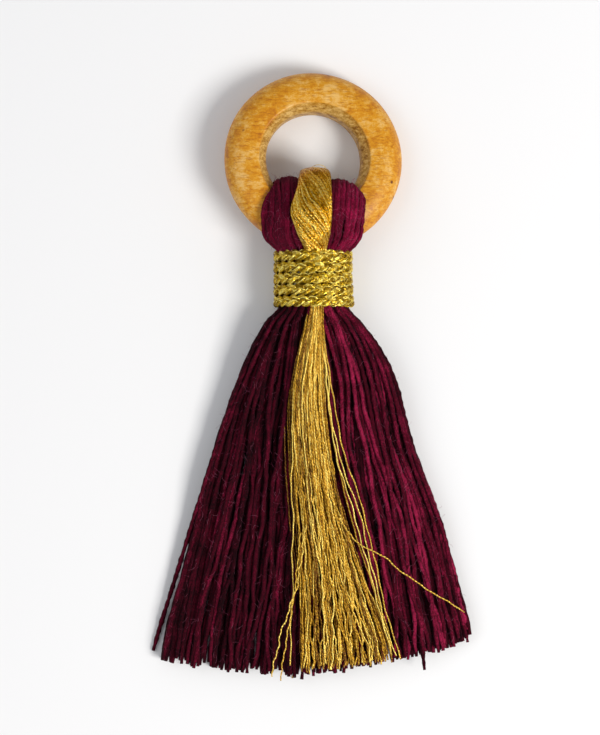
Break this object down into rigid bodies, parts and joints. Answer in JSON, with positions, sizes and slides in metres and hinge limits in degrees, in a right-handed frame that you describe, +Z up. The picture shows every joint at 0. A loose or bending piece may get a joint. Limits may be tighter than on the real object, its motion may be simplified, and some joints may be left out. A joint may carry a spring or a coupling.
{
  "type": "yarn tassel on a wooden ring",
  "caption": "Wool yarn tassel folded over a turned wooden ring, with a gold thread bundle over its head, a wound gold cord binding and a fanned skirt, lying flat on its back.",
  "frame": {"origin": "under the middle of the whole tassel's box, on the surface that it lies on", "axes": "+X across the tassel, +Y from the skirt's hem to the ring, +Z up from the surface"},
  "size_m": [0.0532, 0.1016, 0.0144],
  "materials": {
    "ring_wood": "satin, oiled",
    "maroon_wool": "soft twisted wool, matt with a short fuzz",
    "gold_thread": "fine crimped metallic thread, glinting",
    "gold_cord": "braided metallic thread, glinting"
  },
  "bodies": {
    "root": {"ring": "ring_wood", "yarn_hank": "maroon_wool", "gold_hank": "gold_thread", "binding": "gold_cord"}
  },
  "joints": []
}
